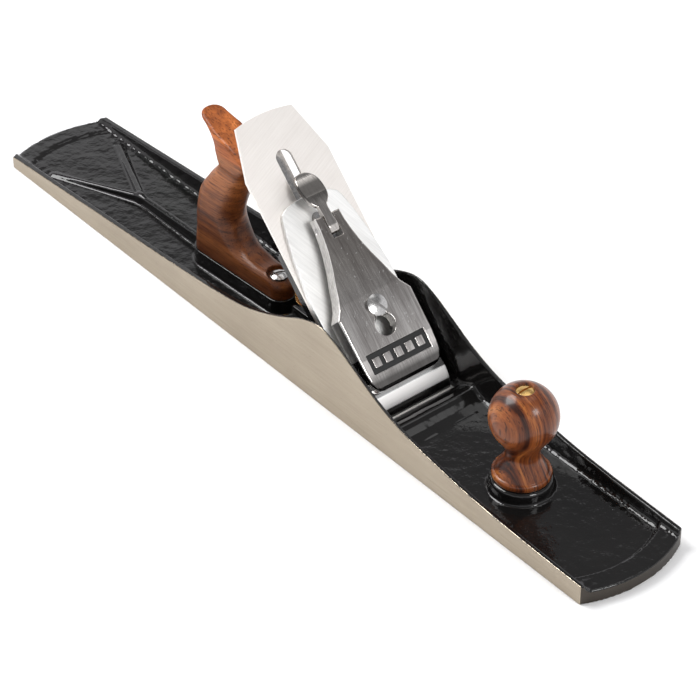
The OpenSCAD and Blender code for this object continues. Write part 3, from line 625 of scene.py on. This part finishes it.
# ------------------------------------------------------------------ sole casting
RAIL = curve([[-340, 3], [-300, 6.1], [-180, 14.8], [-82, 22], [-34, 27.2], [-10, 32.8], [13, 42], [34, 52.3],
              [50, 56.6], [64, 53.2], [80, 45], [100, 34.2], [120, 26.6], [142, 22], [183, 16.4], [222, 14],
              [300, 11.7], [340, 10.5]], 10, False)
RAIL_SLOPE = np.gradient(RAIL[:, 1], RAIL[:, 0])
RAIL_TOP_Z = 56.7
RIB = np.array([[92, -10], [92.5, 3], [99.5, 7.8], [103, 9.1], [106, 9.1], [108.5, 7.5], [112.5, 5.8],
                [119, 4.7], [121, -10]])
FLOOR_Z, HEEL_LAND_Z, TOE_LAND_Z, LAND_W = 4.8, 5.8, 8.3, 12.5
MOUTH_FRONT, MOUTH_BACK, MOUTH_HALF, MOUTH_TOP_Z, BED_LINE = 92.5, 83.4, 32.6, 20, 84.67
BORE_Z, BORE_R, BORE_FRONT_X = 17.5, 2.55, 21
KNOB_X, BOSS_Z, BOSS_R, PLATFORM_Z = 183, 13, 18.4, 15
# The tote's foot narrows from a rear end to a front end, with a ledge of the platform round it
FOOT_REAR, FOOT_FRONT = (-99.6, 0), (-33.6, 0)
TOTE_REAR_HALF, TOTE_FRONT_HALF, LEDGE = 12.3, 8.8, 0.6
# The Y behind the tote: its stem's ends, and the tips of its arms
STEM_X, STEM_FRONT_X, ARM_X, ARM_Y = -180, -104, -240, 25.7
SEAT_REAR_X, SEAT_FRONT_X, SEAT_HALF, SEAT_TOP_Z, LUG_TOP_Z = 22, 100, 27, 12, 22
# A height below the sole, and a distance that is well inside any outline
INSIDE = -9
swell, grainy, wall_swell, dribble = Ripple(3, 11.0), Ripple(5, 3.2), Ripple(8, 7.0), Ripple(12, 2.8)


def step_up(d, width):
    """0 below -width, 1 above 0, smooth between."""
    t = np.clip(1 + d / width, 0, 1)
    return t * t * (3 - 2 * t)


def past_end(x, y):
    """Distance past the round end of the toe or the heel."""
    return np.hypot(np.maximum(np.abs(x) - END_CENTRE_X, 0), y) - END_R


def full_block(x, y, z):
    """The casting as if it were solid up to the top of its rails."""
    rail_z = np.interp(x, RAIL[:, 0], RAIL[:, 1])
    lean = 1 / np.hypot(1, np.interp(x, RAIL[:, 0], RAIL_SLOPE))
    plan = meet(np.abs(y) - SOLE_W / 2, past_end(x, y), 0.5)
    return meet(plan, (z - rail_z) * lean, 0.9)


def tray(x, y, z):
    """The hollow between the rails: uneven floor, a land at each end, and walls that the black ran down."""
    side = np.abs(y)
    land = step_up(past_end(x, y) + LAND_W, 3.0)
    floor = FLOOR_Z + np.where(x > 0, TOE_LAND_Z - FLOOR_Z, HEEL_LAND_Z - FLOOR_Z) * land
    rib = np.interp(x, RIB[:, 0], RIB[:, 1])
    floor = 0.5 * (floor + rib + np.sqrt((floor - rib) ** 2 + 1))
    floor = floor + 0.10 * swell(x, y) + 0.035 * grainy(x, y)
    wall_y = SOLE_W / 2 - np.interp(x, [-20, 25], [4.4, 3.3])
    bumps = 0.10 * wall_swell(x, z + np.sign(y) * 90) + 0.03 * grainy(x, z)
    wall = side - wall_y + 0.035 * (FLOOR_Z + 2 - z) + bumps
    runs = np.exp(-np.maximum(z - floor, 0) / 1.6) * dribble(x, np.sign(y) * 50)
    return meet(wall + 0.6 * runs, floor + 0.12 * runs * (side > 25) - z, 3.4)


def with_heel_ribs(body, x, y, z):
    """The body with the two arms and the stem of the Y behind the tote, all rising toward it."""
    stem_back = np.array([STEM_X + 2, 0])
    for way in (-1, 1):
        tip = np.array([ARM_X, way * ARM_Y])
        span = stem_back - tip
        share = np.clip(((x - tip[0]) * span[0] + (y - tip[1]) * span[1]) / (span @ span), 0, 1)
        top = z - (6.2 + 4.3 * share) - 0.1 * swell(y, x)
        arm = meet(taper_bar(x, y, tip, stem_back, 2.1, 2.1), top, 1.7)
        body = join(body, arm, 2.2)
    share = np.clip((x - STEM_X) / 75, 0, 1)
    stem = meet(taper_bar(x, y, (STEM_X, 0), (STEM_FRONT_X, 0), 2.2, 2.2), z - 10.5 - 3.0 * share, 1.7)
    return join(body, stem, 2.2)


def with_seats(body, x, y, z):
    """The body with the tote's platform, the knob's boss, and the frog's seat with its cheeks and lug."""
    platform = taper_bar(x, y, FOOT_REAR, FOOT_FRONT, TOTE_REAR_HALF + LEDGE, TOTE_FRONT_HALF + LEDGE)
    body = join(body, meet(platform, z - PLATFORM_Z, 0.8), 2.4)
    boss = np.hypot(x - KNOB_X, y) - BOSS_R
    body = join(body, meet(boss + 0.15 * dribble(x, y), z - BOSS_Z, 2.4), 2.2)
    seat = block(x, y, z, (SEAT_REAR_X, -SEAT_HALF, INSIDE), (SEAT_FRONT_X, SEAT_HALF, SEAT_TOP_Z))
    seat = meet(seat, (x + z - BED_LINE) * math.sqrt(0.5), 0.3)
    cheeks = block(x, np.abs(y), z, (-12, 6, INSIDE), (SEAT_REAR_X + 0.2, 9, LUG_TOP_Z))
    lug = block(x, y, z, (8, -7, INSIDE), (16, 7, LUG_TOP_Z))
    return np.minimum(body, np.minimum(seat, np.minimum(cheeks, lug)))


def bed_field(x, y, z):
    body = cut(full_block(x, y, z), tray(x, y, z), 1.1)
    body = with_seats(with_heel_ribs(body, x, y, z), x, y, z)
    # Mouth and the adjusting screw's bore
    mouth = np.maximum(x - MOUTH_FRONT, np.minimum((BED_LINE - x - z) * math.sqrt(0.5), MOUTH_BACK - x))
    mouth = np.maximum(np.maximum(mouth, np.abs(y) - MOUTH_HALF), z - MOUTH_TOP_Z)
    bore = np.maximum(np.hypot(y, z - BORE_Z) - BORE_R, x - BORE_FRONT_X)
    body = np.maximum(np.maximum(body, -mouth), -bore)
    return meet(body, -z, 0.25)


# Stretches along the bed get a coarse and a fine grid in turn
COARSE, FINE = 2.3, 0.95
breaks = [-281.5, -116, -86, -42, -16, 24, 58, 126, 161, 205, 283]
bed_x = []
for i, (a, b) in enumerate(zip(breaks, breaks[1:])):
    step = FINE if i % 2 else COARSE
    bed_x.append(np.linspace(a, b, max(int(round((b - a) / step)), 1), endpoint=False))
bed_grid = (np.concatenate(bed_x), spaced(-SOLE_W / 2, SOLE_W / 2, 0.9), spaced(0, RAIL_TOP_Z, 0.9))
bed = solid("sole_casting", bed_field, bed_grid)
finish_piece(bed, "sole", "ground_iron", looks["ground_iron"], "bed")

# ------------------------------------------------------------------ tote and knob
TOTE = curve([[-24.8, 4], [-24.8, 17], [-26.5, 23.5], [-31, 27.6], [-39, 29.4], [-50, 28.9], [-59.5, 31],
              [-68.5, 36], [-73, 45], [-72.6, 54], [-66, 70], [-57, 88], [-53.2, 96], [-54.2, 100],
              [-60, 102.4], [-69, 104.6], [-76, 104.6], [-79.6, 100.6], [-78.8, 94.2], [-81.6, 87.8],
              [-88.4, 79.8], [-95.4, 71.2], [-101.8, 61.5], [-105.4, 50], [-107.8, 34], [-110.4, 17],
              [-110.4, 4]], 5, True)
HORN = curve([[-52.6, 98.5], [-53.8, 100.8], [-57.6, 102.7], [-63.3, 105.2], [-70, 107.4], [-77.7, 109.3],
              [-87, 112], [-95, 114.6], [-99.6, 115.8], [-101.4, 115.4], [-100.6, 113.8], [-95, 111.4],
              [-91, 109.6], [-87.3, 107.2], [-84, 104.2], [-81.6, 100.6], [-80.2, 96.5], [-76, 92],
              [-60, 90]], 4, True)
# Radius of the tote's edges at places along its side view: x, z, radius
TOTE_EDGES = [(-52.5, 100, 5), (-60, 103, 7), (-77, 103, 7), (-79, 94, 6.5), (-88, 80, 8), (-95, 71, 9),
              (-104, 50, 10), (-109, 25, 11.5), (-110, 17, 12), (-66, 70, 10), (-72.8, 50, 10.5),
              (-57, 88, 7.5), (-68, 36, 8), (-50, 29, 5), (-40, 29.4, 5), (-26, 22, 8.3)]
# How fast a place's say in the radius falls off with distance
EDGE_FALLOFF = 1.6
ROD_FOOT_X, ROD_LEAN, ROD_LEN, ROD_HOLE_R, RECESS_R, RECESS_DEPTH = -95, math.radians(20.5), 94, 4.7, 5.4, 4
TOE_SCREW_X, TOE_HOLE_R, TOE_RECESS_X, TOE_RECESS_R, TOE_RECESS_Z = -34.7, 2.8, -35.6, 7, 26.15


def tote_shape(x, y, z):
    """The handle and its horn, before anything is bored."""
    weights = [((x - px) ** 2 + (z - pz) ** 2 + 1) ** -EDGE_FALLOFF for px, pz, _ in TOTE_EDGES]
    edge = sum(w * r for w, (_, _, r) in zip(weights, TOTE_EDGES)) / sum(weights)
    half = np.interp(x, [FOOT_REAR[0], FOOT_FRONT[0]], [TOTE_REAR_HALF, TOTE_FRONT_HALF])
    body = meet(outline_distance(x, z, TOTE), np.abs(y) - half, np.minimum(edge, half - 0.3))
    body = meet(body, taper_bar(x, y, FOOT_REAR, FOOT_FRONT, TOTE_REAR_HALF, TOTE_FRONT_HALF), 0.8)
    neck_x = -81
    plan = np.minimum(taper_bar(x, y, (neck_x, 0), (-40, 0), 10.4, 10.7),
                      taper_bar(x, y, (-92.8, 0), (neck_x, 0), 8.6, 10.4))
    horn = meet(outline_distance(x, z, HORN), plan, 2.2)
    return meet(join(body, horn, 5.0), PLATFORM_Z - z, 0.3)


def tote_field(x, y, z):
    body = tote_shape(x, y, z)
    # The rod's hole and its nut's recess, on a line that leans back
    ahead, up = x - ROD_FOOT_X, z - PLATFORM_Z
    along = ahead * math.sin(ROD_LEAN) + up * math.cos(ROD_LEAN)
    off = np.hypot(ahead * math.cos(ROD_LEAN) - up * math.sin(ROD_LEAN), y)
    body = cut(body, np.maximum(off - RECESS_R, ROD_LEN - RECESS_DEPTH - along), 0.3)
    body = np.maximum(body, ROD_HOLE_R - off)
    # The toe screw's recess and hole
    recess = np.maximum(np.hypot(x - TOE_RECESS_X, y) - TOE_RECESS_R, TOE_RECESS_Z - z)
    body = cut(body, recess, 0.35)
    return np.maximum(body, TOE_HOLE_R - np.hypot(x - TOE_SCREW_X, y))


tote_grid = (spaced(-112, -24.8, 0.7), spaced(-12.3, 12.3, 0.7), spaced(PLATFORM_Z, 116, 0.7))
tote = solid("tote_handle", tote_field, tote_grid)
finish_piece(tote, "sole", "tote_wood", looks["tote_wood"], "tote")

# The knob's outline, as (radius, height over the boss) up to its ball
KNOB_STEM = [[15.2, -1], [16.2, 0], [16.9, 1.2], [17.1, 2.5], [16.8, 3.8], [16.1, 4.5], [15.5, 4.9],
             [15.2, 5.5], [14.2, 7.3], [12.1, 10.6], [10.4, 13.9], [9.8, 17], [10.35, 20.2], [11.9, 23.6],
             [13.9, 26.8]]
BALL_R, BALL_Z, KNOB_TOP_Z, NUT_SEAT_Z, NUT_HOLE_R, KNOB_HOLE_R = 19.8, 54.5, 73, 70, 5.4, 4.6
ball = [[BALL_R * math.cos(math.radians(a)), BALL_Z + BALL_R * math.sin(math.radians(a))]
        for a in range(-36, 69, 4)]
outer = [[r, BOSS_Z + h] for r, h in KNOB_STEM]
outer = curve(outer + ball + [[6.4, KNOB_TOP_Z], [5.9, KNOB_TOP_Z + 0.25]], 3, False)
bore = [[NUT_HOLE_R + 0.2, KNOB_TOP_Z + 0.2], [NUT_HOLE_R, KNOB_TOP_Z], [NUT_HOLE_R, NUT_SEAT_Z],
        [KNOB_HOLE_R, NUT_SEAT_Z], [KNOB_HOLE_R, BOSS_Z]]
knob = lathe("knob_turning", np.concatenate([outer, bore]), (KNOB_X, 0), 112)
finish_piece(knob, "sole", "knob_wood", looks["knob_wood"], "knob")

# ------------------------------------------------------------------ irons and lever cap
# Fields are drawn with s along X and n along Z, and on_bed puts the mesh in its place
lean_back = Matrix.Rotation(math.pi / 4, 4, "Y") @ Matrix.Rotation(math.pi, 4, "Z")
on_bed = Matrix.Translation((EDGE_X * MM, 0, 0)) @ lean_back


def mirrored(points):
    """Closed outline from the points of one half."""
    return np.array(points + [[a, -b] for a, b in points[::-1]], float)


CAP_PLAN = mirrored([[17.8, 18], [18.6, 21.2], [21, 24], [25, 25.9], [31, 26.7], [37, 27], [65, 27],
                     [71, 22.6], [77, 20], [85, 17.4], [93, 14.4], [103, 11.5], [111, 10], [117, 9.2],
                     [124, 9]])
CAP_HOLLOW = mirrored([[25, 20], [28, 23], [36, 23.4], [62, 23.4], [68, 19.6], [75, 17], [84, 14.2],
                       [92, 11.2], [103, 8]])
CAP_START_S, CAP_END_S, CAP_HALF, TIP_N, HOLLOW_N = 17, 124, 27, 6.35, 12.5
# The keyhole runs from its round end down at KEYHOLE_S up to the screw's place at SCREW_S
KEYHOLE_S, KEYHOLE_R, SCREW_S, NECK_R = 52, 6.75, 64, 3.9
RIVET_S, RIVET_HOLE_R = 86, 1.55
PIN_S, PIN_N, PIN_HOLE_R = 117, 10.2, 1.8
CAP_SIDE = np.array([[CAP_START_S, TIP_N], [CAP_START_S, 12.5], [18.2, 14.6], [20.5, 15.9], [26, 16.5],
                     [38, FACE_N], [FACE_BREAK_S, FACE_N], [96, 16.1], [112, 15.2], [CAP_END_S, 14.5],
                     [CAP_END_S, TIP_N]])


def disc(s, y, centre_s, r):
    """Distance to a circle on the middle line."""
    return np.hypot(s - centre_s, y) - r


def rectangle(s, y, centre, half_s, half_y):
    return np.maximum(np.abs(s - centre[0]) - half_s, np.abs(y - centre[1]) - half_y)


def pin_hole(s, n):
    return np.hypot(s - PIN_S, n - PIN_N) - PIN_HOLE_R


def cap_shell(s, y, n):
    """The hollow cap with its two bosses underneath, one for the spring's rivet and one round the keyhole."""
    body = meet(outline_distance(s, y, CAP_PLAN), outline_distance(s, n, CAP_SIDE), 1.3)
    body = np.maximum(body, -np.maximum(outline_distance(s, y, CAP_HOLLOW), n - HOLLOW_N))
    rivet_boss = np.maximum(disc(s, y, RIVET_S, 5), np.maximum(8.6 - n, n - 14))
    keyhole_boss = np.maximum(disc(s, y, SCREW_S - 6, 11), np.maximum(10 - n, n - 15))
    return np.minimum(np.minimum(body, rivet_boss), keyhole_boss)


def panel_field(s, y, n):
    """The recess in the face, with five plain blocks left standing in it."""
    recess = rectangle(s, y, (PANEL_S, 0), PANEL_HALF_S, PANEL_HALF_Y)
    recess = np.maximum(recess, FACE_N - PANEL_DEPTH - n)
    for i in range(-2, 3):
        plain_block = np.maximum(rectangle(s, y, (PANEL_S, 8 * i), 2.9, 2.6), n - FACE_N + 0.3)
        recess = np.maximum(recess, -plain_block)
    return recess


def lever_cap_field(s, y, n):
    body = cap_shell(s, y, n)
    keyhole = np.minimum(disc(s, y, KEYHOLE_S, KEYHOLE_R), disc(s, y, SCREW_S, NECK_R))
    neck = rectangle(s, y, ((KEYHOLE_S + SCREW_S) / 2, 0), (SCREW_S - KEYHOLE_S) / 2, NECK_R)
    body = cut(body, np.minimum(keyhole, neck), 0.5)
    body = cut(body, panel_field(s, y, n), 0.25)
    # The cam lever's notch, its pin's hole and the spring rivet's
    body = cut(body, np.maximum(PIN_S - 7.7 - s, np.abs(y) - 3.6), 0.5)
    body = np.maximum(body, -pin_hole(s, n))
    return np.maximum(body, -np.maximum(disc(s, y, RIVET_S, RIVET_HOLE_R), n - 13.5))


cap_grid = (spaced(CAP_START_S, CAP_END_S, 0.55), spaced(-CAP_HALF, CAP_HALF, 0.5),
            spaced(TIP_N, FACE_N, 0.45))
lever_cap = solid("lever_cap_casting", lever_cap_field, cap_grid, on_bed)
finish_piece(lever_cap, "lever_cap", "lever_cap_plate", looks["lever_cap_plate"], "lever_cap")

THUMB_SIDE = curve([[112.2, 11.9], [112.1, 13.4], [113.6, 14.9], [119, 15.15], [125, 14.8], [132, 14.1],
                    [138, 13.2], [145, 11.3], [150, 8.8], [151.8, 7], [151, 5.9], [147, 7.6], [142, 9.4],
                    [136, 10.7], [128, 11], [119, 9.5]], 5, True)
THUMB_PLAN = curve(mirrored([[108, 2.9], [127, 2.9], [130, 4.4], [133, 6.8], [137, 7.8], [144, 7.8],
                             [148.5, 6.2], [151, 3.6], [152, 0.5]]), 4, True)


def cam_field(s, y, n):
    thumb = meet(outline_distance(s, n, THUMB_SIDE), outline_distance(s, y, THUMB_PLAN), 0.7)
    # A round hub, and the same again moved off the pin and down toward the irons as the cam
    hub = np.minimum(np.hypot(s - PIN_S, n - PIN_N), np.hypot(s - PIN_S - 0.9, n - PIN_N + 1.25)) - 5
    body = join(thumb, meet(hub, np.abs(y) - 3.1, 0.3), 0.8)
    return np.maximum(body, -pin_hole(s, n))


cam_grid = (spaced(111, 152, 0.35), spaced(-7.8, 7.8, 0.35), spaced(3.9, 15.3, 0.35))
cam = solid("cam_lever_thumb", cam_field, cam_grid, on_bed)
finish_piece(cam, "cam_lever", "lever_cap_plate", looks["cam_lever_plate"], "cam_lever")

HUMP_S, HUMP_FOOT_S, HUMP_H, NOSE_S, NOSE_T = 16, 32, 6.2, 1.7, 2.8
IRON_T, IRON_HALF, IRON_TOP_S, IRON_TOP_R = 3, 30, 139, 62
HUMP_R = ((HUMP_S - NOSE_S) ** 2 + HUMP_H ** 2) / (2 * HUMP_H)


def hump(r, low):
    """Nose arc and the slope behind the hump, for the top or the underside."""
    start = math.asin((HUMP_R - HUMP_H) / r)
    turn = np.linspace(start, math.pi / 2, 15)
    nose = np.stack([HUMP_S - r * np.cos(turn), HUMP_H - HUMP_R + r * np.sin(turn)], axis=1)
    t = np.linspace(0, 1, 15)[1:]
    back = np.stack([HUMP_S + (HUMP_FOOT_S - HUMP_S) * t,
                     low + (HUMP_H - HUMP_R + r - low) * (1 + np.cos(math.pi * t)) / 2], axis=1)
    return np.concatenate([nose, back])


IRON_SIDE = np.concatenate([hump(HUMP_R, IRON_T), [[IRON_TOP_S + 2, IRON_T], [IRON_TOP_S + 2, 0]],
                            hump(HUMP_R - NOSE_T, 0)[::-1]])
IRON_PLAN = mirrored([[-3, IRON_HALF], [84, IRON_HALF], [108.5, 27.1], [122, 24.3], [131, 21.8],
                      [134.4, 20.2], [136.2, 17.2], [142, 12]])


def cap_iron_field(s, y, n):
    round_top = np.where(s > IRON_TOP_S - 40, disc(s, y, IRON_TOP_S - IRON_TOP_R, IRON_TOP_R), INSIDE)
    plan = np.maximum(outline_distance(s, y, IRON_PLAN), round_top)
    body = meet(outline_distance(s, n, IRON_SIDE), plan, 0.35)
    # A slot for the lever cap's screw, a square-cornered hole for the Y lever and a round one near the top
    screw_slot = np.hypot(np.maximum(np.abs(s - SCREW_S) - 3, 0), y) - 5.5
    holes = np.minimum(screw_slot, disc(s, y, 124, 4))
    finger = rectangle(s, y, (90, 0), 2.6, 4.2)
    return cut(body, np.minimum(holes, finger), 0.25)


iron_grid = (spaced(1.4, IRON_TOP_S, 0.65), spaced(-IRON_HALF, IRON_HALF, 0.8), spaced(0, 6.3, 0.45))
cap_iron = solid("cap_iron_plate", cap_iron_field, iron_grid, on_bed)
finish_piece(cap_iron, "irons", "cap_iron_steel", looks["cap_iron_steel"], "cap_iron")

# ------------------------------------------------------------------ parts that keep their CAD shape
CAD_LOOKS = {
    "japanning": ["frog"],
    "cutter_steel": ["cutter"],
    "steel": ["frog_screws", "frog_screw_washers", "frog_adjusting_screw", "frog_clip", "frog_clip_screw",
              "depth_stud", "y_lever_pin", "lateral_lever", "lateral_lever_disc", "lateral_lever_rivet",
              "cap_iron_screw", "lever_cap_screw", "cam_lever_pin", "leaf_spring_rivet", "tote_rod",
              "tote_toe_screw", "knob_rod", "y_lever"],
    "spring_steel": ["leaf_spring"],
    "brass": ["depth_collar", "depth_wheel", "tote_nut", "knob_nut"],
}
for look_name, nodes in CAD_LOOKS.items():
    for node in nodes:
        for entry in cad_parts[node].material_slots:
            entry.material = looks[look_name]

# ------------------------------------------------------------------ floor and light


def soft_light(name, toward, distance, size, power):
    """Square soft light that stands in a direction from the plane and faces it."""
    data = bpy.data.lights.new(name, "AREA")
    data.shape, data.size, data.energy = "SQUARE", size, power
    lamp = bpy.data.objects.new(name, data)
    toward = Vector(toward).normalized()
    lamp.location = LIT_SPOT + toward * distance
    lamp.rotation_euler = toward.to_track_quat("Z", "Y").to_euler()
    collection.objects.link(lamp)


LIT_SPOT = Vector((0.05, 0, 0.04))
soft_light("left_softbox", (-0.50, -0.32, 0.80), 1.6, 0.85, 21)
soft_light("right_softbox", (0.77, 0.11, 0.63), 1.7, 0.45, 8)
soft_light("overhead", (0.0, 0.3, 1.0), 2.2, 1.3, 6)

# A pale sweep round the horizon under a darker ceiling
world = bpy.data.worlds.new("studio")
world.use_nodes = True
tree = world.node_tree
direction = tree.nodes.new("ShaderNodeSeparateXYZ")
tree.links.new(tree.nodes.new("ShaderNodeTexCoord").outputs["Generated"], direction.inputs[0])
sweep = tree.nodes.new("ShaderNodeValToRGB")
tree.links.new(direction.outputs[2], sweep.inputs[0])
points = sweep.color_ramp.elements
for position, grey in ((0.0, 0.95), (0.55, 0.94), (0.60, 0.29), (1.0, 0.30)):
    point = points.new(position) if 0 < position < 1 else points[-1 if position else 0]
    point.color = (grey, grey, grey * 1.02, 1)
tree.links.new(sweep.outputs[0], tree.nodes["Background"].inputs["Color"])
bpy.context.scene.world = world
bpy.context.scene.view_settings.view_transform = "Standard"

FLOOR_R, FLOOR_GAP = 6, 0.0001
floor_mesh = bpy.data.meshes.new("floor")
corners = [(-FLOOR_R, -FLOOR_R), (FLOOR_R, -FLOOR_R), (FLOOR_R, FLOOR_R), (-FLOOR_R, FLOOR_R)]
floor_mesh.from_pydata([(x, y, -FLOOR_GAP) for x, y in corners], [], [(0, 1, 2, 3)])
floor = bpy.data.objects.new("floor", floor_mesh)
collection.objects.link(floor)
paper = Look("paper", Roughness=0.9, Base_Color=(0.93, 0.93, 0.93))
floor_mesh.materials.append(paper.material)
